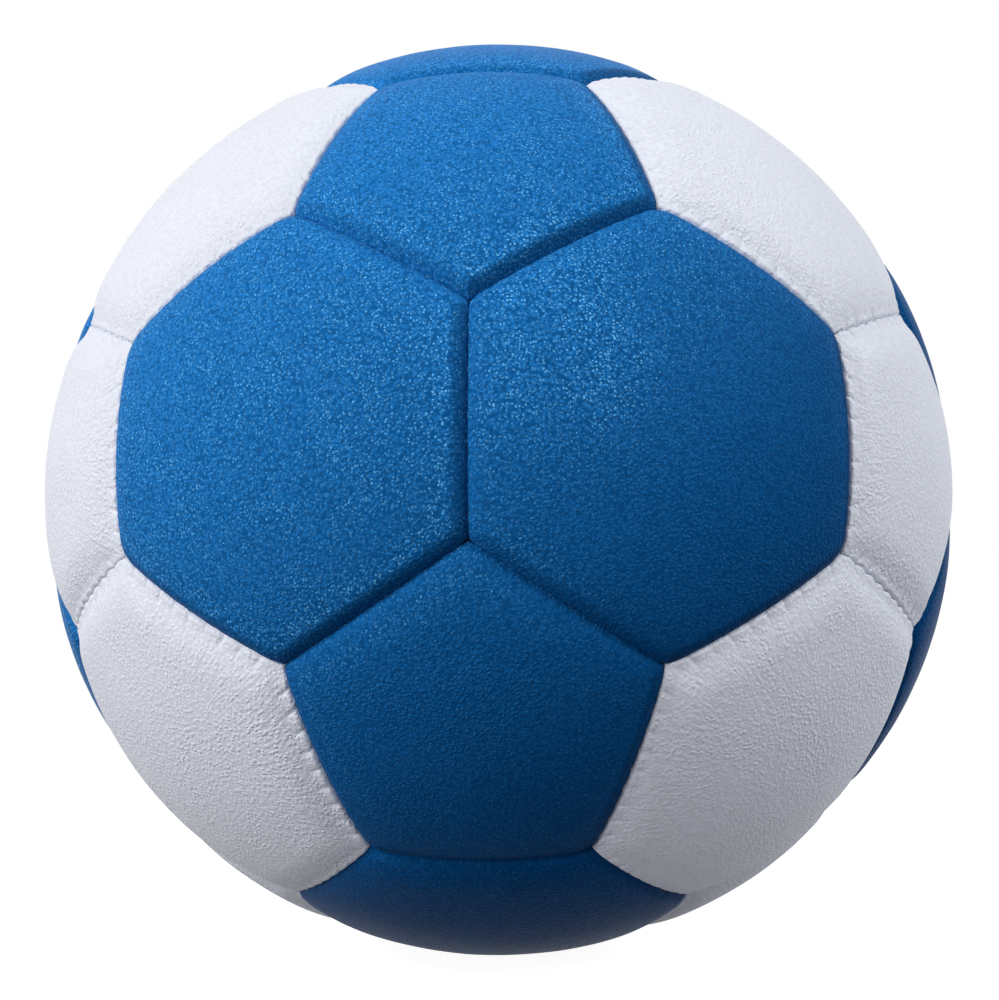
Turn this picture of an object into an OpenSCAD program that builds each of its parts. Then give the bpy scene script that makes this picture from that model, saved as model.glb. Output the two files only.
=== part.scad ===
// Hand-stitched handball: 32 padded cover panels sewn edge to edge around an inflated
// bladder, with foam pads and linings behind the covers, the seam threads and the valve.
// The origin is the ball's centre. The front, where a seam between two hexagons stands
// upright, faces -Y. All sizes are in millimetres.

/* [Ball] */
// Circumference, measured with a tape over the crowns of the panels
ball_circumference = 590; // [500:5:620]

/* [Cover panels] */
// How much lower a panel's crown is over the middle of a seam than at its own middle
crown_drop = 0.7; // [0.4:0.1:1]
// Thickness of the pebbled cover material
cover_thickness = 1.3; // [1:0.1:1.5]
// Outer radius of the rounded edge where the cover turns in at a seam
edge_roll_radius = 4.5; // [4:0.1:5.5]
// Steepness of the cover where it meets its neighbour, in degrees from the crown
edge_wall_angle = 56; // [45:1:65]
// Gap between the turned-in edges of two neighbours
seam_gap = 0.16; // [0.1:0.02:0.3]
// Diameter of the pit where the corners of three covers meet
corner_pit_diameter = 1.4; // [1:0.1:1.8]

/* [Padding] */
// Thickness of the foam pad at the middle of a panel
foam_thickness = 3.9; // [3.5:0.1:5]
// Thickness of the laminated cloth lining
lining_thickness = 1; // [0.6:0.1:1.5]

/* [Stitching] */
// Diameter of the waxed thread
thread_diameter = 0.7; // [0.5:0.05:0.8]
// Stitches in each of the 90 seams
stitches_per_seam = 9; // [5:1:11]
// Depth of the stitches below the edge where two covers meet
stitch_depth = 1.3; // [1:0.1:1.5]

/* [Bladder] */
// Wall thickness of the rubber bladder
bladder_wall = 0.8; // [0.5:0.1:1.5]

/* [Valve] */
// Diameter of the rubber valve stem that shows in its panel
valve_diameter = 8; // [7:0.2:10]
// Length of the valve, from its outer face inwards
valve_length = 18; // [15:0.5:22]
// How far the valve's face lies below the crown of its panel
valve_recess = 0.3; // [0.1:0.1:0.6]
// Chamfer around the valve's face
valve_chamfer = 0.4; // [0.2:0.1:0.8]
// Thickness of the valve's closed inner end
valve_floor = 1; // [0.5:0.1:2]
// Diameter of the flange bonded under the bladder's wall
valve_flange_diameter = 26; // [20:1:30]
// Thickness of that flange
valve_flange_thickness = 1; // [0.6:0.1:1.5]
// Diameter of the self-sealing plug inside the valve
plug_diameter = 4.5; // [4:0.1:5]
// How far the plug's face lies below the valve's face
plug_recess = 0.3; // [0.1:0.1:0.6]
// Diameter of the bead that holds the plug in the valve
plug_bead_diameter = 5.8; // [5.5:0.1:6.2]
// Length of that bead
plug_bead_length = 3; // [2:0.5:4]
// Diameter of the bore for the inflation needle
needle_bore_diameter = 2.2; // [1.8:0.1:2.6]
// Depth of that bore, from the plug's face to its closed end
needle_bore_depth = 10; // [8:0.5:11]
// Diameter of the patch that backs the lining around the valve
patch_diameter = 24; // [20:1:26]

/* [Fits] */
// Clearance between layers and pieces that lie against each other
layer_clearance = 0.05; // [0.03:0.01:0.08]
// Clearance around the valve stem where it comes out through its panel
valve_clearance = 0.2; // [0.1:0.05:0.4]

/* [Colours] */
// Blue panels
blue = "#0b5ca4"; // ["#0b5ca4", "#134a8c", "#0f6d6a", "#b3262b"]
// White panels
white = "#e6e4ee"; // ["#e6e4ee", "#d9dfe6", "#f0dc57"]

/* [Hidden] */
// Unit shapes of the panel layout
golden = (1 + sqrt(5)) / 2;
pentagon_sides = 5;
hexagon_sides = 6;

function unit(v) = v / norm(v);
function angle_between(a, b) = acos(unit(a) * unit(b));
function side_of_x(sign) = sign < 0 ? "left" : "right";
function side_of_y(sign) = sign < 0 ? "front" : "back";
function side_of_z(sign) = sign < 0 ? "bottom" : "top";

// Each panel is a name, the direction of its middle from the ball's centre and a colour
pentagons = [
    for (a = [-1, 1], b = [-1, 1]) each [
        [str("pentagon_", side_of_y(a), "_", side_of_z(b)), [0, a * golden, b], blue],
        [str("pentagon_", side_of_x(a), "_", side_of_y(b)), [a * golden, b, 0], white],
        [str("pentagon_", side_of_z(a), "_", side_of_x(b)), [b, 0, a * golden], white]
    ]
];
hexagons = [
    for (a = [-1, 1], b = [-1, 1]) each [
        [str("hexagon_", side_of_y(a), "_", side_of_x(b)), [b / golden, a * golden, 0], blue],
        [str("hexagon_", side_of_z(a), "_", side_of_y(b)), [0, b / golden, a * golden], blue],
        [str("hexagon_", side_of_x(a), "_", side_of_z(b)), [a * golden, 0, b / golden], blue]
    ],
    for (x = [-1, 1], y = [-1, 1], z = [-1, 1]) [
        str("hexagon_", side_of_y(y), "_", side_of_x(x), "_", side_of_z(z)), [x, y, z], white
    ]
];
valve_panel = "hexagon_back_right";
valve_direction = [1 / golden, golden, 0];

// Angles at the ball's centre, from three pentagon middles around one hexagon
pole_a = [0, golden, 1];
pole_b = [0, golden, -1];
pole_c = [golden, 1, 0];
corner = 2 * pole_a + pole_b;
seam_span_angle = angle_between(corner, pole_a + 2 * pole_b);
function mid_seam_angle(corner_angle, sides) = atan(tan(corner_angle) * cos(180 / sides));
function corner_angle(seam_angle, sides) = atan(tan(seam_angle) / cos(180 / sides));
pentagon_seam_angle = mid_seam_angle(angle_between(pole_a, corner), pentagon_sides);
hexagon_seam_angle = mid_seam_angle(angle_between(pole_a + pole_b + pole_c, corner), hexagon_sides);
neighbour_angle = 40;
hexagon_pair_angle = 45;

// The crown of a panel is a sphere whose centre is shifted from the ball's centre
ball_radius = ball_circumference / (2 * PI);
function crown_shift(seam_angle) =
    let (over_seam = ball_radius - crown_drop)
    crown_drop * (ball_radius + over_seam) / (2 * (ball_radius - over_seam * cos(seam_angle)));
function crown_radius(seam_angle) = ball_radius - crown_shift(seam_angle);
function crown_reach(seam_angle) = crown_shift(seam_angle) * cos(seam_angle) + crown_radius(seam_angle);

// The rounded edge, in the plane across a seam: distance from the ball's centre along
// the seam's plane, and distance from that plane
roll_lift_share = 0.03;
roll_top = max(crown_reach(pentagon_seam_angle), crown_reach(hexagon_seam_angle))
    + roll_lift_share * edge_roll_radius;
roll_centre_radius = roll_top - edge_roll_radius;
roll_inset = seam_gap / 2 + edge_roll_radius * sin(edge_wall_angle);
fold_radius = roll_centre_radius + edge_roll_radius * cos(edge_wall_angle);

// Radii of the layers
foam_inner_radius = ball_radius - cover_thickness - layer_clearance - foam_thickness;
lining_outer_radius = foam_inner_radius - layer_clearance;
lining_inner_radius = lining_outer_radius - lining_thickness;
bladder_outer_radius = lining_inner_radius - layer_clearance;
bladder_inner_radius = bladder_outer_radius - bladder_wall;
flange_outer_radius = bladder_inner_radius - layer_clearance;
flange_inner_radius = flange_outer_radius - valve_flange_thickness;

// Sides of the layers, as distances from the seam's plane
cover_side = seam_gap / 2;
flange_side = cover_side + cover_thickness;
thread_side = flange_side + layer_clearance;
foam_side = thread_side + thread_diameter / 2 + layer_clearance;

// Stitches: the part of a thread that crosses a seam is drawn thinner than its runs, and
// reaches into them by a share of its own radius
crossing_share = 0.8;
crossing_reach_share = 0.4;
stitch_overhang_share = 0.4;
stitch_radius = fold_radius - stitch_depth;
stitch_angle = seam_span_angle / (stitches_per_seam + 1);
stitch_run_angle = (stitches_per_seam - 1 + stitch_overhang_share) * stitch_angle;
crossing_radius = crossing_share * thread_diameter / 2;
crossing_end = thread_side + crossing_reach_share * crossing_radius;

// Valve
valve_top = ball_radius - valve_recess;
valve_bottom = valve_top - valve_length;
plug_top = valve_top - plug_recess;
plug_bottom = valve_bottom + valve_floor;
bead_middle = (plug_top + plug_bottom) / 2;
funnel_depth = needle_bore_diameter / 2;
passage_radius = valve_diameter / 2 + valve_clearance;
overrun = cover_thickness;

thread_colour = "#ece7d8";
foam_colour = "#d8d3c4";
lining_colour = "#c9c2ae";
rubber_colour = "#23262b";
plug_colour = "#15171a";
patch_colour = "#9b958a";

panels = concat(pentagons, hexagons);
panel_names = [for (panel = panels) panel[0]];
$fn = 96;

// The first direction of a list that lies beside a panel's middle
function neighbour(middle, others) = [
    for (other = others) if (angle_between(middle, other[1]) < neighbour_angle) other[1]
][0];

// Places children in a frame whose Z axis is one direction, with X towards another
module facing(z_axis, towards) {
    z = unit(z_axis);
    x = unit(towards - (towards * z) * z);
    y = cross(z, x);
    multmatrix([
        [x[0], y[0], z[0], 0],
        [x[1], y[1], z[1], 0],
        [x[2], y[2], z[2], 0],
        [0, 0, 0, 1]
    ])
        children();
}

// Places children in the frame of one seam of a panel: X through the middle of the seam,
// Z square to the seam's plane and into the panel
module at_seam(index, sides, seam_angle) {
    rotate([0, seam_angle - 90, index * 360 / sides]) children();
}

// A sphere with its poles on the X axis
module lying_sphere(radius) {
    rotate([0, 90, 0]) sphere(radius);
}

// Half of a seam's cross-section, turned about the seam's normal: everything on one side
// of the seam's plane, under the rounded edge. The inset thins it from outside.
module seam_side(side, inset) {
    rotate([0, 0, 180]) rotate_extrude() {
        translate([0, side]) square([roll_centre_radius, ball_radius]);
        translate([0, roll_inset]) square([roll_top - inset, ball_radius]);
        intersection() {
            translate([roll_centre_radius, roll_inset]) circle(edge_roll_radius - inset);
            translate([0, side]) square([roll_top, ball_radius]);
        }
    }
}

// The space under a panel's crown and between its seams
module panel_body(sides, seam_angle, side, inset) {
    intersection() {
        translate([0, 0, crown_shift(seam_angle)]) lying_sphere(crown_radius(seam_angle) - inset);
        intersection_for (index = [0:sides - 1]) {
            at_seam(index, sides, seam_angle) seam_side(side, inset);
        }
    }
}

// Places children along the stitches of one seam, from its middle outwards
module at_stitches() {
    for (stitch = [0:stitches_per_seam - 1]) {
        rotate([0, 0, (stitch - (stitches_per_seam - 1) / 2) * stitch_angle])
            translate([stitch_radius, 0, 0])
                children();
    }
}

module stitch_holes(sides, seam_angle) {
    for (index = [0:sides - 1]) {
        at_seam(index, sides, seam_angle)
            at_stitches()
                cylinder(h = foam_side, r = crossing_radius + layer_clearance);
    }
}

// The pits at the corners of one panel, where its cover meets two others
module corner_pits(sides, seam_angle) {
    for (index = [0:sides - 1]) {
        rotate([0, corner_angle(seam_angle, sides), (index + 1 / 2) * 360 / sides])
            translate([0, 0, lining_inner_radius - overrun])
                cylinder(h = cover_thickness + foam_thickness + lining_thickness + 2 * overrun,
                    r = corner_pit_diameter / 2);
    }
}

// Takes a way through the middle of the valve's panel, and leaves the others whole
module pierced(panel, radius) {
    difference() {
        children();
        if (panel[0] == valve_panel) cylinder(h = ball_radius + overrun, r = radius);
    }
}

// One cover: the crown and its turned-in edges, pierced for the stitches and at its corners
module cover_panel(panel, sides, seam_angle, others) {
    color(panel[2]) facing(panel[1], neighbour(panel[1], others)) pierced(panel, passage_radius)
        difference() {
            panel_body(sides, seam_angle, cover_side, 0);
            panel_body(sides, seam_angle, flange_side, cover_thickness);
            lying_sphere(lining_inner_radius);
            stitch_holes(sides, seam_angle);
            corner_pits(sides, seam_angle);
        }
}

// One foam pad, which fills its cover down to the lining
module foam_pad(panel, sides, seam_angle, others) {
    facing(panel[1], neighbour(panel[1], others)) pierced(panel, passage_radius)
        difference() {
            panel_body(sides, seam_angle, foam_side, cover_thickness + layer_clearance);
            lying_sphere(foam_inner_radius);
        }
}

// One lining, laid across the back of the pad between the turned-in edges
module lining(panel, sides, seam_angle, others) {
    facing(panel[1], neighbour(panel[1], others))
        pierced(panel, patch_diameter / 2 + layer_clearance)
            intersection() {
                difference() {
                    lying_sphere(lining_outer_radius);
                    lying_sphere(lining_inner_radius);
                }
                intersection_for (index = [0:sides - 1]) {
                    at_seam(index, sides, seam_angle)
                        translate([0, -ball_radius, thread_side])
                            cube([ball_radius, 2 * ball_radius, ball_radius]);
                }
            }
}

module pentagon_foam_pads() {
    color(foam_colour) for (panel = pentagons) {
        foam_pad(panel, pentagon_sides, pentagon_seam_angle, hexagons);
    }
}

module hexagon_foam_pads() {
    color(foam_colour) for (panel = hexagons) {
        foam_pad(panel, hexagon_sides, hexagon_seam_angle, pentagons);
    }
}

module pentagon_linings() {
    color(lining_colour) for (panel = pentagons) {
        lining(panel, pentagon_sides, pentagon_seam_angle, hexagons);
    }
}

module hexagon_linings() {
    color(lining_colour) for (panel = hexagons) {
        lining(panel, hexagon_sides, hexagon_seam_angle, pentagons);
    }
}

// The thread of one seam: a half-round run pressed against the inside of each turned-in
// edge, and the stitches that cross between the runs
module seam_thread() {
    for (side = [0, 1]) {
        mirror([0, 0, side])
            rotate([0, 0, -stitch_run_angle / 2])
                rotate_extrude(angle = stitch_run_angle)
                    translate([stitch_radius, thread_side])
                        intersection() {
                            circle(thread_diameter / 2);
                            translate([-thread_diameter / 2, 0])
                                square([thread_diameter, thread_diameter]);
                        }
    }
    at_stitches() cylinder(h = 2 * crossing_end, r = crossing_radius, center = true);
}

module pentagon_seam_threads() {
    color(thread_colour) for (panel = pentagons, index = [0:pentagon_sides - 1]) {
        facing(panel[1], neighbour(panel[1], hexagons))
            at_seam(index, pentagon_sides, pentagon_seam_angle)
                seam_thread();
    }
}

module hexagon_seam_threads() {
    color(thread_colour) for (first = hexagons, second = hexagons) {
        a = unit(first[1]);
        b = unit(second[1]);
        if (first[0] < second[0] && angle_between(a, b) < hexagon_pair_angle) {
            facing(a - b, a + b) seam_thread();
        }
    }
}

module bladder() {
    color(rubber_colour) difference() {
        sphere(bladder_outer_radius);
        sphere(bladder_inner_radius);
        facing(valve_direction, [0, 0, 1])
            cylinder(h = ball_radius, r = valve_diameter / 2 + layer_clearance);
    }
}

// Outline of the plug, grown on all sides by a gap
module plug_outline(gap) {
    translate([0, plug_bottom - gap])
        square([plug_diameter / 2 + gap, plug_top - plug_bottom + 2 * gap]);
    translate([0, bead_middle - plug_bead_length / 2 - gap])
        square([plug_bead_diameter / 2 + gap, plug_bead_length + 2 * gap]);
}

// The rubber valve: a stem with a flange that follows the inside of the bladder
module valve_housing() {
    color(rubber_colour) facing(valve_direction, [0, 0, 1]) rotate_extrude() {
        difference() {
            union() {
                polygon([
                    [0, valve_bottom],
                    [valve_diameter / 2 - valve_chamfer, valve_bottom],
                    [valve_diameter / 2, valve_bottom + valve_chamfer],
                    [valve_diameter / 2, valve_top - valve_chamfer],
                    [valve_diameter / 2 - valve_chamfer, valve_top],
                    [0, valve_top]
                ]);
                intersection() {
                    difference() {
                        circle(flange_outer_radius);
                        circle(flange_inner_radius);
                    }
                    square([valve_flange_diameter / 2, ball_radius]);
                }
            }
            plug_outline(layer_clearance);
            translate([0, plug_top]) square([plug_diameter / 2 + layer_clearance, ball_radius]);
        }
    }
}

// The self-sealing plug, with a funnel and a blind bore for the needle
module valve_plug() {
    color(plug_colour) facing(valve_direction, [0, 0, 1]) rotate_extrude() {
        difference() {
            plug_outline(0);
            translate([0, plug_top - needle_bore_depth])
                square([needle_bore_diameter / 2, needle_bore_depth]);
            polygon([
                [0, plug_top - funnel_depth],
                [needle_bore_diameter / 2, plug_top - funnel_depth],
                [needle_bore_diameter / 2 + funnel_depth / 2, plug_top],
                [0, plug_top]
            ]);
        }
    }
}

// The patch that backs the lining around the valve
module valve_patch() {
    color(patch_colour) facing(valve_direction, [0, 0, 1]) rotate_extrude() {
        intersection() {
            difference() {
                circle(lining_outer_radius);
                circle(lining_inner_radius);
            }
            translate([passage_radius, 0])
                square([patch_diameter / 2 - passage_radius, ball_radius]);
        }
    }
}

for (panel = pentagons) {
    union() {
        cover_panel(panel, pentagon_sides, pentagon_seam_angle, hexagons);
    }
}
for (panel = hexagons) {
    union() {
        cover_panel(panel, hexagon_sides, hexagon_seam_angle, pentagons);
    }
}
pentagon_foam_pads();
hexagon_foam_pads();
pentagon_linings();
hexagon_linings();
pentagon_seam_threads();
hexagon_seam_threads();
bladder();
valve_housing();
valve_plug();
valve_patch();
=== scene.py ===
"""A hand-stitched handball dressed for viewing: 32 padded cover panels with bevelled, puckered
edges, the stitches at the bottom of the seams, finishes for the parts inside, and a plain
pale stage. Sizes are in metres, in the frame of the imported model."""

from math import asin, atan, cos, pi, radians, sin, sqrt, tan

import bmesh
import bpy
from mathutils import Matrix, Vector


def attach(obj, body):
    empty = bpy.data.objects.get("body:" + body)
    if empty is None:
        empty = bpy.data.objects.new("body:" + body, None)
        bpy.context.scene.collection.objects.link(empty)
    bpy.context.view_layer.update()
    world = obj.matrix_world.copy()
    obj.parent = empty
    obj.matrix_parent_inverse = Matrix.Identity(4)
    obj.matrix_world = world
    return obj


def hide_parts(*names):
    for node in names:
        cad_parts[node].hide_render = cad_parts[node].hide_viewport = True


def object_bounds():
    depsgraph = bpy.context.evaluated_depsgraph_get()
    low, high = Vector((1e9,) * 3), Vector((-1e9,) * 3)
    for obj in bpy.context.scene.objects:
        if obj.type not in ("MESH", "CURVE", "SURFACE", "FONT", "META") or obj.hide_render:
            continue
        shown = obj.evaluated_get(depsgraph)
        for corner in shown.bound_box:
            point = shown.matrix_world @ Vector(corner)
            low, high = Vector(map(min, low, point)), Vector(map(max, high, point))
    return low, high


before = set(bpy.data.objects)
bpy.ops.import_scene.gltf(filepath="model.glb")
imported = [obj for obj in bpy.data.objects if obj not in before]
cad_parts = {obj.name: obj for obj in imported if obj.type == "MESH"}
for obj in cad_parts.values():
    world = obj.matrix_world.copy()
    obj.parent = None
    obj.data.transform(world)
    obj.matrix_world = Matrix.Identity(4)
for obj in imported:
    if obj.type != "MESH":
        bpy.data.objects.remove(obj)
cad_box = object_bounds()

bl_info = {
    "name": "Stitched Handball",
    "version": (1, 0, 0),
    "blender": (4, 5, 0),
    "location": "View3D > Sidebar > Handball",
    "description": "Builds the padded covers, stitches and finishes of a hand-stitched handball",
    "category": "Object",
}

MM = 0.001
GOLDEN = (1 + sqrt(5)) / 2
BODY = "root"
VALVE_PANEL = "hexagon_back_right"
VALVE_HOLE_RADIUS = 4.2 * MM
SIDE_NAMES = {
    "x": {-1: "left", 1: "right"}, "y": {-1: "front", 1: "back"}, "z": {-1: "bottom", 1: "top"},
}

# Shape of a cover, where a user has nothing to set. The gathers draw the grid's columns to the
# stitches and its rings to the edge
ROUNDING = 0.00001
WELD_DISTANCE = 0.002 * MM
STITCH_GATHER = 0.6
RING_GATHER = 1.7
CORNER_GAP = 0.12 * MM
CORNER_GAP_WIDTH = 1.1 * MM
CORNER_BLEND = 1.2 * MM
SHOULDER_BLEND = 2.5 * MM
HEM_BLEND = 1.2 * MM
PUCKER_REACH = 1.6 * MM
CREASE_WIDTH = 0.32 * MM
CREASE_ENDS = (1.3 * MM, 2.4 * MM)
PIT_WIDTH = 1.6 * MM
WAVE_REACH = 1.3 * MM
LUMP_SIZE = 13 * MM
LUMP_START = 6 * MM
WEAKEST_PULL = 0.55
PULL_SPREAD = 0.9
# How sharply the stitches' marks end at the corners of a panel
END_SHARPNESS = 10.0
# Steps between the chances of the sides, of the covers, and of the covers' lumps
SIDE_STEP, COVER_STEP, LUMP_STEP = 31.0, 7.0, 0.137

# Shape of the thread: a stitch's shift in pitches, arch in its lengths, slant in radians and
# heights in millimetres, and a run's length in seams, thickness and distance in diameters
STITCH_SHIFT = 0.07
STITCH_ARCH = 0.15
STITCH_SLANT = 0.3
STITCH_HEIGHTS = (-0.25, 0.05)
STITCH_BLUNTNESS = 4.0
RUN_LENGTH = 0.98
RUN_THICKNESS = 0.8
RUN_DISTANCE = 0.45
RUN_BLUNTNESS = 60.0

# Pitches of the two cloths' yarns
LINING_YARN = 0.9 * MM
PATCH_YARN = 0.6 * MM

# Painted light: the covers are painted lighter towards one direction, down to painted shade at
# the lowest share of it, and a painted sheen spot lies beside the front seam
PAINTED_LIGHT_WAY = (-0.6, -0.3, 0.74)
PAINTED_SHADE_FACING = -0.45
PAINTED_SHEEN_SPOT = (0.11, -0.98, 0.15)

# Leather, blue and white alike
SWAY_SIZE = 2.5 * MM
SWAY_REACH = 0.9 * MM
FINE_SIZE = 0.35 * MM
PATCH_SIZE = 11 * MM
DOT_SIZE = 0.5 * MM
WRINKLE_SCALES = (5.0, 1.5)
WEAKEST_GRAIN = 0.55
LEAST_SHOWN = 0.1
GAP_SHADE = 0.45
GROOVE_SHADE = 0.3

# Leather, where blue and white differ. Shaded is the share of its colour that a cover keeps away
# from the painted light, as painted shade. Lift, speck, gap, fine, painted_ridge_highlight,
# painted_groove_shade and wrinkles say how strong the grain's pale tops and dots (partly grain,
# mostly painted highlights and glints), the painted shade in the gaps between grains, the fine
# grain, the painted highlight on the shoulders, the painted shade on the groove walls and the
# wrinkles show
LOOKS = {
    "blue": {
        "grain_size": 0.62 * MM, "shaded": 0.58, "lift": 0.4, "speck": 1.25, "gap": 0.42,
        "fine": 0.55, "painted_ridge_highlight": 0.45, "painted_groove_shade": 0.6, "tint": (0.35, 0.65, 1.0), "ior": 1.05,
        "roughness": 0.3, "wrinkles": 0.2, "relief": 0.34 * MM,
    },
    "white": {
        "grain_size": 0.8 * MM, "shaded": 1.0, "lift": 0.3, "speck": 0.2, "gap": 0.15,
        "fine": 0.4, "painted_ridge_highlight": 0.0, "painted_groove_shade": 0.12, "tint": (1.0, 1.0, 1.0), "ior": 1.4,
        "roughness": 0.5, "wrinkles": 0.9, "relief": 0.3 * MM,
    },
}

# Stage: each lamp's name, place, size and colour, and the colours and glow of the floor
WHITE = (1.0, 1.0, 1.0, 1.0)
COOL = (0.95, 0.97, 1.0, 1.0)
LAMPS = (
    ("key", (-0.85, -0.69, 0.6), 0.3, WHITE),
    ("front", (-0.58, -1.09, 0.2), 0.5, WHITE),
    ("fill", (1.03, -0.31, 0.64), 0.8, COOL),
    ("back", (0.1, 1.2, 0.35), 0.6, WHITE),
)
FLOOR_SEEN = (0.32, 0.32, 0.33, 1.0)
FLOOR_UNSEEN = (0.2, 0.2, 0.21, 1.0)
FLOOR_GLOW = 0.945

# Rings of a cover's grid, from the middle of its outer face to the middle of its inner face
OUTER_RINGS = 34
WALL_RINGS = 2
INNER_RINGS = 7
FOLD_RING = OUTER_RINGS + WALL_RINGS
FLANGE_RING = FOLD_RING + 1
LIP_RING = FLANGE_RING + 1
LAST_RING = LIP_RING + INNER_RINGS
COLUMNS_PER_STITCH = 8


def panel_layout():
    """Name, direction of the middle, number of sides and colour of each of the 32 panels."""
    x_name, y_name, z_name = (SIDE_NAMES[axis] for axis in "xyz")
    panels = []
    for a in (-1, 1):
        for b in (-1, 1):
            panels += [
                (f"pentagon_{y_name[a]}_{z_name[b]}", (0, a * GOLDEN, b), 5, "blue"),
                (f"pentagon_{x_name[a]}_{y_name[b]}", (a * GOLDEN, b, 0), 5, "white"),
                (f"pentagon_{z_name[a]}_{x_name[b]}", (b, 0, a * GOLDEN), 5, "white"),
                (f"hexagon_{y_name[a]}_{x_name[b]}", (b / GOLDEN, a * GOLDEN, 0), 6, "blue"),
                (f"hexagon_{z_name[a]}_{y_name[b]}", (0, b / GOLDEN, a * GOLDEN), 6, "blue"),
                (f"hexagon_{x_name[a]}_{z_name[b]}", (a * GOLDEN, 0, b / GOLDEN), 6, "blue"),
            ]
            panels += [
                (f"hexagon_{y_name[b]}_{x_name[a]}_{z_name[c]}", (a, b, c), 6, "white")
                for c in (-1, 1)
            ]
    return [(name, Vector(middle).normalized(), *rest) for name, middle, *rest in panels]


PANELS = panel_layout()
CORNER = Vector((0, 3 * GOLDEN, 1)).normalized()
SEAM_SPAN = 2 * asin(CORNER.z)
SEAM_ANGLE = {
    sides: atan(tan(middle.angle(CORNER)) * cos(pi / sides))
    for sides, middle in ((5, Vector((0, GOLDEN, 1))), (6, Vector((1 / GOLDEN, GOLDEN, 0))))
}


def measured_radius():
    """The ball's radius over the crowns of its panels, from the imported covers."""
    covers = [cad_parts[panel[0]] for panel in PANELS]
    return max(vertex.co.length for cover in covers for vertex in cover.data.vertices)


def number(name, description, default, **more):
    return bpy.props.FloatProperty(name=name, description=description, default=default, **more)


def millimetres(name, description, size, low, high):
    """The property of a length, which is given in millimetres and kept in metres."""
    return number(
        name, description, size * MM, min=low * MM, max=high * MM, precision=5,
        subtype="DISTANCE", unit="LENGTH")


def degrees(name, description, size, low=-180, high=180):
    """The property of an angle, which is given in degrees and kept in radians."""
    return number(
        name, description, radians(size), min=radians(low), max=radians(high),
        subtype="ANGLE", unit="ROTATION")


def share_of_one(name, description, share, low=0):
    return number(name, description, share, min=low, max=1, subtype="FACTOR")


def watts(name, description, power):
    return number(name, description, power, min=0, unit="POWER")


def colour_of(name, description, colour):
    return bpy.props.FloatVectorProperty(
        name=name, description=description, subtype="COLOR", size=3, default=colour)


class HandballCoverSettings(bpy.types.PropertyGroup):
    """Sizes of the cover panels."""

    ball_radius: number(
        "Ball Radius", "Radius over the crowns of the panels", measured_radius(),
        min=0.05, max=0.12, precision=5, subtype="DISTANCE", unit="LENGTH")
    crown_drop: millimetres(
        "Crown Drop", "How much lower a crown is over the middle of a seam", 0.7, 0, 3)
    thickness: millimetres("Thickness", "Thickness of the cover material", 1.3, 0.5, 3)
    groove_depth: millimetres(
        "Groove Depth", "How far below the crowns two covers meet", 2.44, 1, 5)
    bevel_slope: degrees(
        "Bevel Slope", "Slope of a blue cover's edge down to its neighbour", 41, 20, 70)
    white_slope: degrees(
        "White Edge Slope", "Slope of a white cover's edge down to its neighbour", 64, 20, 70)
    softness: millimetres(
        "Edge Softness", "Softness of the line where the edge starts to slope down", 0.4, 0.05, 2)
    shoulder_width: millimetres(
        "Shoulder Width", "How far in from a seam the padded edge rounds off", 8, 0, 15)
    blue_shoulder: millimetres(
        "Blue Shoulder Radius", "Radius of that rounding on a blue cover", 36, 5, 100)
    white_shoulder: millimetres(
        "White Shoulder Radius", "Radius of that rounding on a white cover", 15, 5, 100)
    hem_width: millimetres(
        "Hem Width", "Width of the flat strip along the edge of a white cover", 2.3, 0, 5)
    seam_gap: millimetres("Seam Gap", "Gap between the turned-in edges of two covers", 0.04, 0, 1)
    flange_depth: millimetres(
        "Flange Depth", "How far the turned-in edge reaches below the crowns", 6.3, 4, 10)
    stitches: bpy.props.IntProperty(
        name="Stitches", description="Stitches in each seam", default=9, min=3, max=15)
    pucker_depth: millimetres(
        "Pucker Depth", "How far a stitch pulls the edge of a cover down", 0.1, 0, 1)
    crease_depth: millimetres(
        "Crease Depth", "Depth of the short crease that runs in from a stitch", 0.28, 0, 1)
    blue_pull: share_of_one(
        "Blue Pull", "How much the stitches mark a blue cover, as a share of a white one", 0.12)
    lumps: millimetres("Lumps", "Unevenness of the padding under a cover", 0.1, 0, 1)
    pit_depth: millimetres(
        "Pit Depth", "Extra depth where the corners of three covers meet", 0.5, 0, 2)
    blue_wave: millimetres(
        "Blue Seam Wave", "Sideways wave of a seam that has a blue side", 0.05, 0, 1)
    white_wave: millimetres(
        "White Seam Wave", "Sideways wave of a seam between two white covers", 0.22, 0, 1)
    seed: bpy.props.IntProperty(
        name="Seed", description="Seed of the covers' unevenness", default=7)


class HandballStitchSettings(bpy.types.PropertyGroup):
    """Sizes of the thread."""

    diameter: millimetres("Thread Diameter", "Diameter of the waxed thread", 0.7, 0.2, 2)
    length: millimetres("Stitch Length", "Length of the thread that bridges a seam", 1.7, 0.5, 5)
    rise: millimetres(
        "Stitch Rise", "Height of a stitch over the line where two covers meet", -0.42, -2, 2)
    run_depth: millimetres(
        "Run Depth", "How far the hidden runs of the thread lie below that line", 1.3, 0, 4)
    seed: bpy.props.IntProperty(name="Seed", description="Seed of the stitches' slant", default=3)


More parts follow.
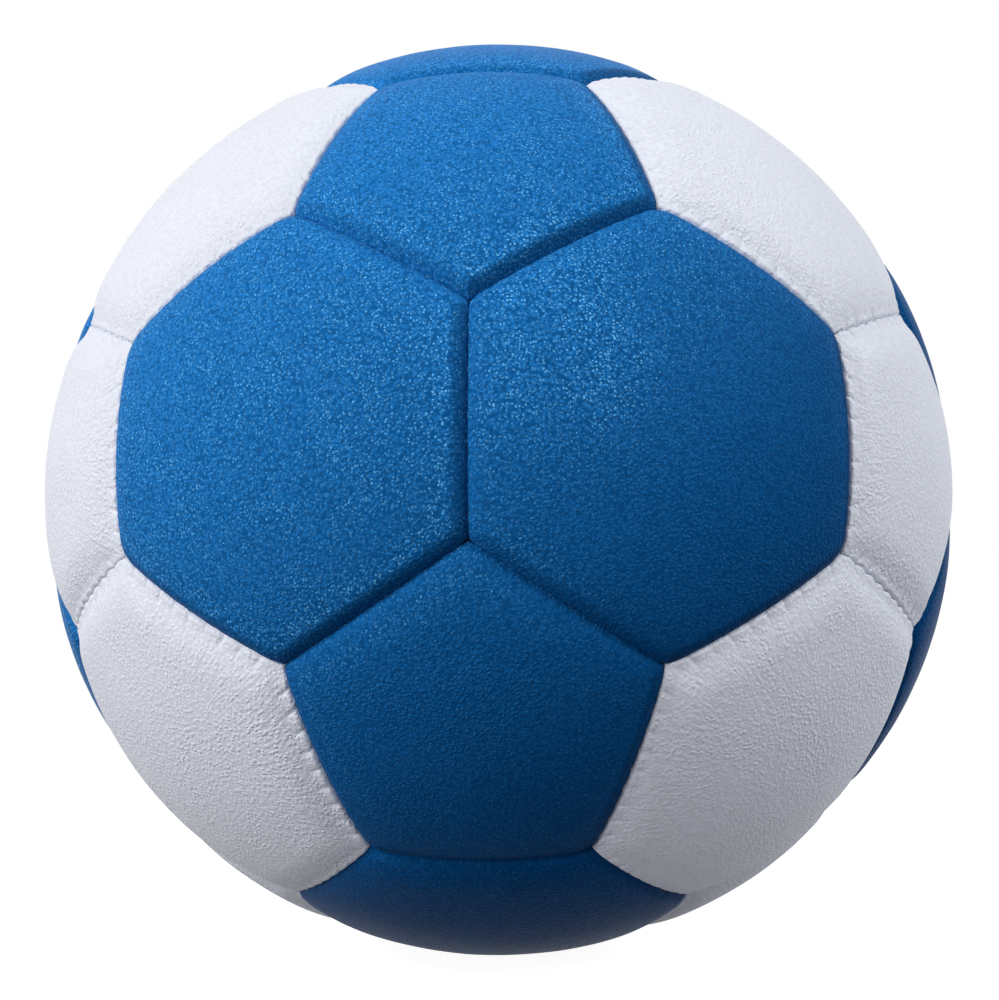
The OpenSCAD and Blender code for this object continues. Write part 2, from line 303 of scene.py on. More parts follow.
class HandballColourSettings(bpy.types.PropertyGroup):
    """Colours of the pieces."""

    blue: colour_of("Blue", "Blue panels", (0.0005, 0.09, 0.31))
    # Painted light: the lighter blue on the side of the panels that faces the painted light
    blue_worn: colour_of("Painted Light Blue", "Blue panels where they are painted lighter", (0.018, 0.23, 0.67))
    # The grain's tops take this colour mostly where light is painted, as painted highlights
    blue_sheen: colour_of("Blue Grain", "Tops of the grain on the blue panels", (0.04, 0.36, 0.93))
    # Painted glints: dots on the grain, mostly where light is painted
    blue_dots: colour_of(
        "Blue Dots", "Painted glint dots on the grain of the blue panels", (0.15, 0.55, 1.0))
    white: colour_of("White", "White panels", (0.845, 0.872, 0.96))
    thread: colour_of("Thread", "Waxed thread", (0.84, 0.87, 0.93))
    foam: colour_of("Foam", "Foam pads", (0.68, 0.65, 0.56))
    lining: colour_of("Lining", "Cloth linings", (0.58, 0.54, 0.43))
    rubber: colour_of("Rubber", "Bladder and valve", (0.03, 0.03, 0.035))
    patch: colour_of("Patch", "Patch around the valve", (0.33, 0.3, 0.25))


class HandballStageSettings(bpy.types.PropertyGroup):
    """Camera, lamps and floor."""

    camera_distance: number(
        "Camera Distance", "Distance from the ball's centre, in ball radii", 3.05, min=1.5, max=20)
    camera_azimuth: degrees("Camera Azimuth", "Angle of the camera to the right of the front", 3)
    camera_elevation: degrees(
        "Camera Elevation", "Angle of the camera above the ball's centre", -7.9)
    ball_share: share_of_one(
        "Ball Share", "Share of the picture's width that the ball fills", 0.912, 0.1)
    key_power: watts("Key Power", "Lamp above the front, to the left", 7.4)
    front_power: watts("Front Power", "Soft lamp low at the front left", 4.9)
    fill_power: watts("Fill Power", "Soft lamp at the front right", 9.4)
    back_power: watts("Back Power", "Soft lamp behind, which the photo's side doesn't see", 6.5)
    ambient: number("Ambient", "Strength of the light from all around", 0.15, min=0)
    floor_size: number(
        "Floor Size", "Width of the floor", 6, min=1, subtype="DISTANCE", unit="LENGTH")


def between(operation, swapped=False):
    """A method for an operator between a value and another one or a number."""
    def method(self, other):
        pair = (other, self) if swapped else (self, other)
        return self.graph.math(operation, *pair)
    return method


class Value:
    """One output of a node. Arithmetic on it adds Math nodes to its tree."""

    __add__ = __radd__ = between("ADD")
    __sub__, __rsub__ = between("SUBTRACT"), between("SUBTRACT", swapped=True)
    __mul__ = __rmul__ = between("MULTIPLY")
    __truediv__, __rtruediv__ = between("DIVIDE"), between("DIVIDE", swapped=True)
    __pow__ = between("POWER")

    def __init__(self, graph, socket):
        self.graph, self.socket = graph, socket

    def __neg__(self):
        return self * -1.0


def function(operation):
    """A method for a function of one value."""
    return lambda self, value: self.math(operation, value)


class Graph:
    """A node tree that is being built, with short ways to add its nodes."""

    sin, cos, tan = function("SINE"), function("COSINE"), function("TANGENT")
    abs, exp, sqrt = function("ABSOLUTE"), function("EXPONENT"), function("SQRT")

    def __init__(self, tree):
        self.tree = tree

    def add(self, kind, inputs=None, output=0, **settings):
        """Adds a node: its settings first, then its inputs, and gives back one output."""
        node = self.tree.nodes.new(kind)
        for name, value in settings.items():
            setattr(node, name, value)
        for key, value in (inputs or {}).items():
            self.feed(node.inputs[key], value)
        return Value(self, node.outputs[output]) if len(node.outputs) else None

    def feed(self, socket, value):
        if isinstance(value, Value):
            self.tree.links.new(value.socket, socket)
        else:
            socket.default_value = value

    def math(self, operation, *values):
        return self.add("ShaderNodeMath", dict(enumerate(values)), operation=operation)

    def vector(self, operation, *values, output=0):
        return self.add(
            "ShaderNodeVectorMath", dict(enumerate(values)), output, operation=operation)

    def scaled(self, vector, factor):
        return self.add(
            "ShaderNodeVectorMath", {0: vector, "Scale": factor}, operation="SCALE")

    def parts(self, vector):
        """The three parts of a vector."""
        node = self.add("ShaderNodeSeparateXYZ", {0: vector}).socket.node
        return [Value(self, socket) for socket in node.outputs]

    def joined(self, x, y, z=0.0):
        """A vector from its three parts."""
        return self.add("ShaderNodeCombineXYZ", {0: x, 1: y, 2: z})

    def turned(self, vector, angle):
        """The vector, turned about the Z axis."""
        return self.add(
            "ShaderNodeVectorRotate", {"Vector": vector, "Angle": angle}, rotation_type="Z_AXIS")

    def clamp(self, value):
        return self.math("MINIMUM", self.math("MAXIMUM", value, 0.0), 1.0)

    def smooth(self, value, start, end):
        """Goes smoothly from 0 to 1 as value goes from start to end."""
        return self.add(
            "ShaderNodeMapRange", {"Value": value, "From Min": start, "From Max": end},
            interpolation_type="SMOOTHSTEP")

    def band(self, value, start, full, waning, end):
        """Goes smoothly from 0 to 1 and back to 0 as value passes the four limits."""
        return self.smooth(value, start, full) * (1.0 - self.smooth(value, waning, end))

    def colour(self, factor, first, second):
        """Mixes two colours: the first where the factor is 0, the second where it is 1."""
        first, second = (c if isinstance(c, Value) else (*c, 1.0) for c in (first, second))
        return self.add("ShaderNodeMix", {0: factor, 6: first, 7: second}, 2, data_type="RGBA")

    def noise(self, place, size, detail=2.0, output="Fac"):
        """Cloudy noise, of clouds as large as size."""
        return self.add(
            "ShaderNodeTexNoise", {"Vector": place, "Scale": 1 / size, "Detail": detail}, output)

    def cells(self, place, size):
        """Cells as large as size: the distance from the middle of one, and its chance colour."""
        cell = self.add("ShaderNodeTexVoronoi", {"Vector": place, "Scale": 1 / size})
        outputs = cell.socket.node.outputs
        return Value(self, outputs["Distance"]), Value(self, outputs["Color"])

    def sheet(self, rings, columns):
        """A flat grid, and how far each of its points is on the two ways over it, as shares."""
        grid = self.add(
            "GeometryNodeMeshGrid", {"Vertices X": rings + 1, "Vertices Y": columns + 1})
        x, y, _ = self.parts(self.add("GeometryNodeInputPosition"))
        return grid, x + 0.5, y + 0.5

    def moved(self, geometry, position):
        return self.add(
            "GeometryNodeSetPosition", {"Geometry": geometry, "Position": position})

    def welded(self, geometry):
        return self.add(
            "GeometryNodeMergeByDistance", {"Geometry": geometry, "Distance": WELD_DISTANCE})

    def together(self, *geometries):
        join = self.tree.nodes.new("GeometryNodeJoinGeometry")
        for geometry in geometries:
            self.tree.links.new(geometry.socket, join.inputs[0])
        return Value(self, join.outputs[0])


def geometry_graph(name, inputs):
    """A Geometry Nodes tree with named inputs: the graph, and its inputs as values."""
    tree = bpy.data.node_groups.new(name, "GeometryNodeTree")
    tree.interface.new_socket("Geometry", in_out="OUTPUT", socket_type="NodeSocketGeometry")
    for label, kind in {"Geometry": "Geometry", **inputs}.items():
        tree.interface.new_socket(label, in_out="INPUT", socket_type=f"NodeSocket{kind}")
    graph = Graph(tree)
    entry = tree.nodes.new("NodeGroupInput")
    return graph, {socket.name: Value(graph, socket) for socket in entry.outputs if socket.name}


def end_graph(graph, geometry, material):
    """Realizes the instances of a Geometry Nodes tree, gives them their material and ends it."""
    realized = graph.add("GeometryNodeRealizeInstances", {0: geometry})
    smooth = graph.add("GeometryNodeSetShadeSmooth", {0: realized})
    dressed = graph.add("GeometryNodeSetMaterial", {0: smooth, "Material": material})
    graph.add("NodeGroupOutput", {0: dressed})
    return graph.tree


def new_object(name, data):
    made = bpy.data.objects.new(name, data)
    bpy.context.scene.collection.objects.link(made)
    return made


def grown_piece(name, tree, inputs, base=None):
    """A plain mesh object made by a Geometry Nodes tree from its named inputs."""
    piece = new_object(name, base or bpy.data.meshes.new(name))
    modifier = piece.modifiers.new(tree.name, "NODES")
    modifier.node_group = tree
    for item in tree.interface.items_tree:
        if item.in_out == "INPUT" and item.name in inputs:
            modifier[item.identifier] = inputs[item.name]
    depsgraph = bpy.context.evaluated_depsgraph_get()
    grown = bpy.data.meshes.new_from_object(piece.evaluated_get(depsgraph), depsgraph=depsgraph)
    piece.modifiers.remove(modifier)
    piece.data = grown
    grown.name = name
    return piece


def panel_matrix(middle, sides):
    """Turns a panel from its own frame, Z outwards and X to its first seam, to its place."""
    other_sides = 11 - sides
    near = min(
        (panel[1] for panel in PANELS if panel[2] == other_sides),
        key=lambda other: round(middle.angle(other), 4))
    x_axis = (near - middle * near.dot(middle)).normalized()
    y_axis = middle.cross(x_axis)
    return Matrix((x_axis, y_axis, middle)).transposed().to_4x4()


def seams_of(middle, sides):
    """The direction of the middle and the inward normal of each seam of a panel."""
    turn = panel_matrix(middle, sides)
    sine, cosine = sin(SEAM_ANGLE[sides]), cos(SEAM_ANGLE[sides])
    for side in range(sides):
        about = turn @ Matrix.Rotation(2 * pi * side / sides, 4, "Z")
        yield about @ Vector((sine, 0, cosine)), about @ Vector((-cosine, 0, sine))


def neighbour_colour(middle, normal):
    """The colour of the panel on the other side of a seam."""
    mirrored = middle - 2 * middle.dot(normal) * normal
    return min(PANELS, key=lambda panel: panel[1].angle(mirrored))[3]


def seam_waves(middle, sides, colour, settings):
    """How far each seam of a panel waves sideways: one panel of a pair waves out where the
    other waves in."""
    outward_side = Vector((0.31, 0.52, 0.8))
    waves = []
    for _, normal in seams_of(middle, sides):
        both_white = colour == "white" and neighbour_colour(middle, normal) == "white"
        size = settings.white_wave if both_white else settings.blue_wave
        waves.append(size if normal.dot(outward_side) > 0 else -size)
    return waves


COVER_INPUTS = {
    "Sides": "Int",
    **dict.fromkeys((
        "Seam Angle", "Ball Radius", "Crown Shift", "Crown Radius", "Fold Radius", "Bevel Slope",
        "Edge Slope", "Softness", "Shoulder Width", "Shoulder Radius", "Hem Width", "Half Gap",
        "Thickness", "Flange Radius"), "Float"),
    "Stitches": "Int",
    **dict.fromkeys((
        "Pucker Depth", "Crease Depth", "Lumps", "Pit Depth", "Hole Radius", "Seed",
        *(f"{label} {number}" for label in ("Wave", "Lean") for number in range(1, 7))), "Float"),
    "Material": "Material",
}


def cover_tree():
    """Geometry Nodes for one cover. A grid of rings and columns is laid over the outer face,
    down the turned-in edge and back under the inner face. Directions are set out as seen from
    the ball's centre, and the radius along each is the lower of the crown and the sloping
    edge."""
    g, size = geometry_graph("Cover Panel", COVER_INPUTS)
    sides, seam_angle, ball_radius = size["Sides"], size["Seam Angle"], size["Ball Radius"]
    pitches = size["Stitches"] + 1
    has_hole = g.math("GREATER_THAN", size["Hole Radius"], 0.0)
    rings = has_hole + LAST_RING
    grid, across, around = g.sheet(rings, sides * pitches * COLUMNS_PER_STITCH)
    ring = g.math("ROUND", across * rings)
    turn = around * sides
    side = g.math("FLOOR", turn + ROUNDING)

    # Columns gather at the stitches. A stitch has a whole number as its place on a side
    even = (turn - side) * pitches
    stitch = even - g.sin(even * (2 * pi)) * (STITCH_GATHER / (2 * pi))
    centred = stitch / pitches - 0.5
    seam_place = centred * SEAM_SPAN
    slope = g.tan(seam_angle)
    sideways = g.tan(seam_place) * g.sqrt(slope * slope + 1.0)
    reach_squared = slope * slope + sideways * sideways
    sine, cosine = g.sin(seam_angle), g.cos(seam_angle)

    # How far out from the middle of the panel a ring lies, as a share of the way to the seam
    def share_at(height, radius):
        return 1.0 - height / radius * g.sqrt(reach_squared + 1.0) / sine

    fold_radius = size["Fold Radius"]
    bevel_tangent = g.tan(size["Bevel Slope"])
    bevel_cosine = g.cos(size["Bevel Slope"])
    flange_side = size["Half Gap"] + size["Thickness"]
    lip_radius = fold_radius + size["Thickness"] * (bevel_tangent - 1.0 / bevel_cosine)
    corner_distance = (0.5 - g.abs(centred)) * (ball_radius * SEAM_SPAN)
    near_corner = g.exp(-((corner_distance / CORNER_GAP_WIDTH) ** 2.0))
    half_gap = size["Half Gap"] + near_corner * CORNER_GAP

    closing = g.math("GREATER_THAN", ring, LAST_RING + 0.5)
    outer = g.math("MAXIMUM", closing, g.math("LESS_THAN", ring, OUTER_RINGS + 0.5))
    inner = (1.0 - outer) * g.math("GREATER_THAN", ring, LIP_RING - 0.5)
    wall = 1.0 - outer - inner
    edge_share = g.clamp(1.0 - ring / OUTER_RINGS) * (1.0 - closing) + closing
    hole_slope = g.tan(g.math("ARCSINE", size["Hole Radius"] / ball_radius))
    hole_share = hole_slope / g.sqrt(reach_squared)
    outer_share = hole_share + (share_at(half_gap, fold_radius) - hole_share) * (
        1.0 - edge_share ** RING_GATHER)
    inner_place = g.clamp((ring - LIP_RING) / INNER_RINGS)
    lip_share = share_at(flange_side, lip_radius)
    inner_share = lip_share + (hole_share - lip_share) * inner_place
    down = g.clamp((ring - OUTER_RINGS) / WALL_RINGS)
    under = g.clamp(ring - FOLD_RING)
    wall_height = half_gap + (flange_side - half_gap) * under
    wall_radius = fold_radius + (size["Flange Radius"] - fold_radius) * down
    wall_share = share_at(wall_height, wall_radius)
    share = outer_share * outer + inner_share * inner + wall_share * wall
    length = g.sqrt(share * share * reach_squared + 1.0)
    tilt = sine * (1.0 - share) / length

    def crown(inset):
        turned = 1.0 / length
        shift = size["Crown Shift"]
        radius = size["Crown Radius"] - inset
        return shift * turned + g.sqrt(radius * radius - shift * shift * (1.0 - turned * turned))

    def bevel(towards, inset, slope_down):
        """Radius of the sloping edge along a direction that leans into the panel by its sine."""
        tangent, level = g.tan(slope_down), g.sqrt(1.0 - towards * towards)
        foot = fold_radius - size["Half Gap"] * tangent - inset / g.cos(slope_down)
        return foot / (level - towards * tangent)

    # The seam on the other side of the nearer corner
    next_turn = 2 * pi / sides
    next_tilt = (sine - cosine * share * (
        slope * g.cos(next_turn) + g.abs(sideways) * g.sin(next_turn))) / length
    depth, next_depth = tilt * ball_radius, next_tilt * ball_radius
    bevelled = g.math(
        "SMOOTH_MIN", bevel(tilt, 0.0, size["Edge Slope"]),
        bevel(next_tilt, 0.0, size["Edge Slope"]), CORNER_BLEND)
    from_edge = g.math(
        "SMOOTH_MAX", g.math("SMOOTH_MIN", depth, next_depth, SHOULDER_BLEND),
        size["Hem Width"], HEM_BLEND)
    into_shoulder = g.math("MAXIMUM", size["Shoulder Width"] - from_edge, 0.0)
    shoulder = into_shoulder * into_shoulder / (size["Shoulder Radius"] * 2.0)
    skin = g.math("SMOOTH_MIN", crown(0.0) - shoulder, bevelled, size["Softness"])
    back = g.math(
        "MINIMUM", crown(size["Thickness"]), bevel(tilt, size["Thickness"], size["Bevel Slope"]))

    # Relief: puckers and creases at the stitches, pits at the corners and lumps
    whole = g.math("ROUND", stitch)
    pitch_length = ball_radius * SEAM_SPAN / pitches
    from_stitch = g.abs(stitch - whole) * pitch_length
    chance = g.add(
        "ShaderNodeTexWhiteNoise",
        {"W": whole + side * SIDE_STEP + size["Seed"] * COVER_STEP}, "Value",
        noise_dimensions="1D")
    ends = 1.0 - g.abs(centred * 2.0) ** END_SHARPNESS
    pucker = (g.cos(stitch * (2 * pi)) + 1.0) * 0.5 * g.exp(-(depth / PUCKER_REACH))
    crease = g.exp(-((from_stitch / CREASE_WIDTH) ** 2.0)) * (1.0 - g.smooth(depth, *CREASE_ENDS))
    pit = g.exp(-((corner_distance ** 2.0 + depth ** 2.0) / PIT_WIDTH ** 2))
    flat_place = g.joined(
        share * slope * ball_radius, share * sideways * ball_radius, size["Seed"] * LUMP_STEP)
    turned_place = g.turned(flat_place, side * next_turn)
    lumps = (g.noise(turned_place, LUMP_SIZE) - 0.5) * 2.0 * g.smooth(depth, 0.0, LUMP_START)
    strength = chance * PULL_SPREAD + WEAKEST_PULL
    relief = (
        (pucker * size["Pucker Depth"] + crease * size["Crease Depth"]) * strength * ends
        + pit * size["Pit Depth"] - lumps * size["Lumps"])
    skin = skin - relief
    radius = skin * outer + back * inner + wall_radius * wall

    def of_side(label):
        """The input for the side, of six."""
        picked = g.add("GeometryNodeIndexSwitch", data_type="FLOAT")
        switch = picked.socket.node
        while len(switch.index_switch_items) < 6:
            switch.index_switch_items.new()
        g.feed(switch.inputs["Index"], side)
        for index in range(6):
            g.feed(switch.inputs[str(index)], size[f"{label} {index + 1}"])
        return picked

    # The seam's sideways wave, which its neighbour follows
    tooth = 1.0 - g.abs((stitch - g.math("FLOOR", stitch)) - 0.5) * 4.0
    wave = of_side("Wave") * tooth * ends * g.exp(-(depth / WAVE_REACH)) * (1.0 - inner)
    local = g.joined(
        radius * share * slope / length - cosine * wave,
        radius * share * sideways / length,
        radius / length + sine * wave)
    chart = g.joined(stitch + side * pitches, depth / pitch_length)
    # Each edge's lean towards the painted light is kept too, for the painted shade and highlights
    # along the edges
    marked = grid
    for name, value in (("edge_chart", chart), ("edge_lean", g.joined(of_side("Lean"), 0.0))):
        marked = g.add(
            "GeometryNodeStoreNamedAttribute",
            {"Geometry": marked, "Name": name, "Value": value},
            data_type="FLOAT2", domain="CORNER")
    shaped = g.moved(marked, g.turned(local, side * next_turn))
    return end_graph(g, g.welded(shaped), size["Material"])


def cover_panel(tree, name, middle, sides, colour, settings, material):
    """Grows one cover panel and turns it to its place."""
    radius, seam_angle, blue = settings.ball_radius, SEAM_ANGLE[sides], colour == "blue"
    over_seam = radius - settings.crown_drop
    shift = settings.crown_drop * (radius + over_seam) / (
        2 * (radius - over_seam * cos(seam_angle)))
    pull = settings.blue_pull if blue else 1.0
    inputs = {label: getattr(settings, label.lower().replace(" ", "_")) for label in (
        "Ball Radius", "Bevel Slope", "Softness", "Shoulder Width", "Thickness", "Stitches",
        "Lumps", "Pit Depth")}
    inputs |= {
        "Sides": sides, "Seam Angle": seam_angle,
        "Crown Shift": shift, "Crown Radius": radius - shift,
        "Fold Radius": radius - settings.groove_depth,
        "Flange Radius": radius - settings.flange_depth,
        "Half Gap": settings.seam_gap / 2,
        "Pucker Depth": settings.pucker_depth * pull,
        "Crease Depth": settings.crease_depth * pull,
        "Edge Slope": settings.bevel_slope if blue else settings.white_slope,
        "Shoulder Radius": settings.blue_shoulder if blue else settings.white_shoulder,
        "Hem Width": 0.0 if blue else settings.hem_width,
        "Hole Radius": VALVE_HOLE_RADIUS if name == VALVE_PANEL else 0.0,
        "Seed": float(settings.seed * 40 + [panel[0] for panel in PANELS].index(name)),
        "Material": material,
    }
    waves = seam_waves(middle, sides, colour, settings)
    for index, (wave, (_, inward)) in enumerate(zip(waves, seams_of(middle, sides)), 1):
        inputs[f"Wave {index}"] = wave
        # How far the edge faces towards the painted light
        inputs[f"Lean {index}"] = -inward.dot(Vector(PAINTED_LIGHT_WAY).normalized())
    piece = grown_piece(f"padded_{name}", tree, inputs)
    piece.data.transform(panel_matrix(middle, sides))
    face_outward(piece)
    return piece


def face_outward(piece):
    """Turns the faces of a closed mesh outward, by the sign of its volume."""
    shape = bmesh.new()
    shape.from_mesh(piece.data)
    if shape.calc_volume(signed=True) < 0:
        bmesh.ops.reverse_faces(shape, faces=shape.faces)
        shape.to_mesh(piece.data)
    shape.free()


THREAD_INPUTS = {
    "Seam Span": "Float", "Stitches": "Int",
    **dict.fromkeys((
        "Radius", "Diameter", "Length", "Arch", "Slant", "Run Radius", "Run Side"), "Float"),
    "Seed": "Int", "Material": "Material",
}


def tube(g, rings, around, diameter, place_at, bluntness):
    """A closed tube along a line: place_at gives the three parts of a place from the share of
    the way along it and the two parts of the way round it."""
    grid, share, turned = g.sheet(rings, around)
    turn = turned * (2 * pi)
    end = g.abs(share * 2.0 - 1.0)
    width = g.sqrt(g.math("MAXIMUM", 1.0 - end ** bluntness, 0.0)) * diameter * 0.5
    parts = place_at(share, width * g.cos(turn), width * g.sin(turn))
    return g.welded(g.moved(grid, g.joined(*parts)))


def thread_tree():
    """Geometry Nodes for the thread of many seams: short stitches that bridge each seam, and
    two hidden runs beside it. A seam is a point with its direction and its across vector."""
    g, size = geometry_graph("Seam Thread", THREAD_INPUTS)
    middle, across = (
        g.add("GeometryNodeInputNamedAttribute", {"Name": name}, data_type="FLOAT_VECTOR")
        for name in ("seam_middle", "seam_across"))
    centred = g.moved(size["Geometry"], g.joined(0.0, 0.0))
    points = g.add("GeometryNodeMeshToPoints", {"Mesh": centred})
    copies = g.add(
        "GeometryNodeDuplicateElements", {"Geometry": points, "Amount": size["Stitches"]})
    number = Value(g, copies.socket.node.outputs["Duplicate Index"])
    index = g.add("GeometryNodeInputIndex")

    def chance(low, high, offset):
        return g.add("FunctionNodeRandomValue", {
            2: low, 3: high, "ID": index, "Seed": size["Seed"] + offset}, output=1)

    def swung(first, second, by):
        """The first direction, turned towards the second."""
        lengthened = g.scaled(second, g.sin(by))
        return g.vector("ADD", g.scaled(first, g.cos(by)), lengthened)

    def placed(spots, instance, primary, secondary):
        """Sets the instance on the spots, with its Z and X axes along two directions."""
        rotation = g.add(
            "FunctionNodeAxesToRotation", {0: primary, 1: secondary},
            primary_axis="Z", secondary_axis="X")
        return g.add("GeometryNodeInstanceOnPoints", {
            "Points": spots, "Instance": instance, "Rotation": rotation})

    pitch = size["Seam Span"] / (size["Stitches"] + 1)
    uneven_place = chance(-STITCH_SHIFT, STITCH_SHIFT, 1)
    along_seam = (number - (size["Stitches"] - 1) * 0.5 + uneven_place) * pitch
    forward = g.vector("CROSS_PRODUCT", across, middle)
    slant = size["Slant"] * chance(-1.0, 1.0, 2)
    outward = swung(middle, forward, along_seam)
    uneven = g.moved(copies, g.scaled(outward, chance(*STITCH_HEIGHTS, 3) * MM))
    level = swung(forward, g.vector("MULTIPLY", middle, (-1, -1, -1)), along_seam)
    stitch = tube(
        g, 6, 6, size["Diameter"],
        lambda share, a, b: (
            (share - 0.5) * size["Length"], a,
            size["Radius"] + b - size["Arch"] * (share * 2.0 - 1.0) ** 2.0),
        STITCH_BLUNTNESS)
    stitches = placed(uneven, stitch, outward, swung(across, level, slant))

    def run(sign):
        def place_at(share, a, b):
            way = (share - 0.5) * size["Seam Span"] * RUN_LENGTH
            distance = size["Run Radius"] + b
            return (a + size["Run Side"] * sign, distance * g.sin(way),
                    distance * g.cos(way))
        return tube(g, 16, 6, size["Diameter"] * RUN_THICKNESS, place_at, RUN_BLUNTNESS)

    hidden = placed(points, g.together(run(-1.0), run(1.0)), middle, across)
    return end_graph(g, g.together(stitches, hidden), size["Material"])


def seam_list():
    """Each seam once: its middle, the direction across it and whether a pentagon is beside it."""
    seams = {}
    for _, middle, sides, _ in PANELS:
        for place, normal in seams_of(middle, sides):
            key = tuple(round(part, 4) + 0.0 for part in place)
            known = seams.get(key)
            seams[key] = (place, normal, sides == 5 or bool(known and known[2]))
    return [seams[key] for key in sorted(seams)]


def seam_threads(tree, name, seams, settings, covers, material):
    """The stitches and hidden runs of the given seams, as one plain mesh."""
    base = bpy.data.meshes.new(name)
    base.from_pydata([place for place, _, _ in seams], [], [])
    for label, column in (("seam_middle", 0), ("seam_across", 1)):
        attribute = base.attributes.new(label, "FLOAT_VECTOR", "POINT")
        attribute.data.foreach_set("vector", [part for seam in seams for part in seam[column]])
    fold = covers.ball_radius - covers.groove_depth
    return grown_piece(name, tree, {
        "Seam Span": SEAM_SPAN, "Stitches": covers.stitches, "Radius": fold + settings.rise,
        "Diameter": settings.diameter, "Length": settings.length,
        "Arch": STITCH_ARCH * settings.length, "Slant": STITCH_SLANT,
        "Run Radius": fold - settings.run_depth,
        "Run Side": covers.seam_gap / 2 + covers.thickness + settings.diameter * RUN_DISTANCE,
        "Seed": settings.seed, "Material": material,
    }, base)


class ShaderGraph(Graph):
    """The node tree of a material or a world, emptied."""

    def __init__(self, owner):
        owner.use_nodes = True
        super().__init__(owner.node_tree)
        self.tree.nodes.clear()


class Finish(ShaderGraph):
    """A material with a Principled shader. Its place is that of a point on the object itself."""

    def __init__(self, name, colour, inputs):
        self.material = bpy.data.materials.new(name)
        self.material.diffuse_color = (*colour, 1.0)
        super().__init__(self.material)
        shader = self.add(
            "ShaderNodeBsdfPrincipled", {"Base Color": (*colour, 1.0), **inputs})
        self.add("ShaderNodeOutputMaterial", {"Surface": shader})
        self.shader = shader.socket.node
        self.place = self.add("ShaderNodeTexCoord", output="Object")

    def end(self, colour, roughness, height, distance):
        """Feeds the shader its colour, its roughness and a relief as high as distance."""
        bump = self.add("ShaderNodeBump", {"Distance": distance, "Height": height})
        for name, value in (("Base Color", colour), ("Roughness", roughness), ("Normal", bump)):
            self.feed(self.shader.inputs[name], value)
        return self.material


def dimmed(colour, share):
    return tuple(part * share for part in colour)


def leather_material(name, colour, painted_light_colour, grain_and_painted_highlight_colour, painted_glint_colour, looks):
    """Pebbled synthetic leather: rounded grains with creases between them, patches of stronger
    and weaker grain, and fine wrinkles that run in from the stitched edges. Light and shade are
    painted on it too: a lighter and a darker side, glints and a sheen spot on the grain,
    highlights on the shoulders and shade in the grooves and between the grains."""
    g = Finish(name, colour, {
        "Roughness": looks["roughness"], "IOR": looks["ior"],
        "Specular Tint": (*looks["tint"], 1.0)})
    # Places on the chart of the edges, both in stitch pitches
    seam_way, edge_way, _ = g.parts(g.add("ShaderNodeUVMap", uv_map="edge_chart"))
    sway = g.vector("SUBTRACT", g.noise(g.place, SWAY_SIZE, output="Color"), (0.5, 0.5, 0.5))
    bent = g.vector("MULTIPLY_ADD", sway, (SWAY_REACH,) * 3, g.place)
    grain, _ = g.cells(bent, looks["grain_size"])
    top = 1.0 - g.smooth(grain, 0.05, 0.6)
    fine = g.noise(g.place, FINE_SIZE)
    patch = g.smooth(g.noise(g.place, PATCH_SIZE), 0.38, 0.62)
    strength = patch * (1.0 - WEAKEST_GRAIN) + WEAKEST_GRAIN
    wrinkle_place = g.joined(seam_way * WRINKLE_SCALES[0], edge_way * WRINKLE_SCALES[1])
    near_edge = g.band(edge_way, 0.3, 0.9, 1.0, 5.5)
    wrinkles = g.noise(wrinkle_place, 1.0, detail=3.0) * near_edge * looks["wrinkles"]
    height = top * strength * 0.5 + fine * looks["fine"] + wrinkles

    # Pale tops of the grain and dots, painted highlights and glints, which show most where light is
    # painted: up and to the left of the front, in a painted sheen spot beside the front seam, and
    # along the shoulders of the edges
    facing, by_spot = (
        g.vector("DOT_PRODUCT", g.place, dimmed(way, 1 / cad_box[1].z), output="Value")
        for way in (PAINTED_LIGHT_WAY, PAINTED_SHEEN_SPOT))
    painted_sheen = g.smooth(facing, -0.05, 0.5) * 0.8 + g.smooth(by_spot, 0.972, 0.998) * 0.8
    lean, _, _ = g.parts(g.add("ShaderNodeUVMap", uv_map="edge_lean"))
    away = g.clamp(lean * -1.15)
    # Painted highlight along the shoulders, strongest on edges that face away from the painted
    # light
    painted_ridge_highlight = g.band(edge_way, 0.55, 0.8, 0.9, 1.9) * (away * 0.9 + 0.5) * g.smooth(
        facing, -0.2, 0.2)
    # Painted shade on the groove walls of edges that face away from the painted light
    painted_groove_shade = (1.0 - g.smooth(edge_way, 0.45, 0.8)) * away * looks["painted_groove_shade"]
    shown = painted_sheen * strength + painted_ridge_highlight * looks["painted_ridge_highlight"] + LEAST_SHOWN
    dot, dot_chance = g.cells(bent, DOT_SIZE)
    chance = g.add("ShaderNodeSeparateColor", {0: dot_chance})
    dots = (1.0 - g.smooth(dot, 0.12, 0.46)) * (chance * chance * 0.85 + 0.25)
    # Painted shade in the gaps between the grains
    gap = g.smooth(grain, 0.4, 0.75) * looks["gap"]
    # Painted light and shade: a darker copy of the colour away from the painted light and a lighter
    # one towards it
    wear_and_painted_light = g.clamp((facing - PAINTED_SHADE_FACING) / (1.0 - PAINTED_SHADE_FACING))
    body = g.colour(wear_and_painted_light, dimmed(colour, looks["shaded"]), painted_light_colour)
    shade = g.colour(gap, body, dimmed(colour, GAP_SHADE))
    lifted = g.colour(top * shown * looks["lift"], shade, grain_and_painted_highlight_colour)
    dotted = g.colour(g.clamp(dots * shown * looks["speck"]), lifted, painted_glint_colour)
    return g.end(
        g.colour(painted_groove_shade, dotted, dimmed(colour, GROOVE_SHADE)),
        fine * 0.12 + looks["roughness"], height, looks["relief"])


def thread_material(colour):
    """Waxed yarn, of strands a fifth of a millimetre thick."""
    g = Finish("thread", colour, {"Roughness": 0.55, "Specular IOR Level": 0.4})
    strands = g.noise(g.place, 0.2 * MM)
    return g.end(
        g.colour(strands, dimmed(colour, 0.75), colour), strands * 0.2 + 0.45, strands, 0.05 * MM)


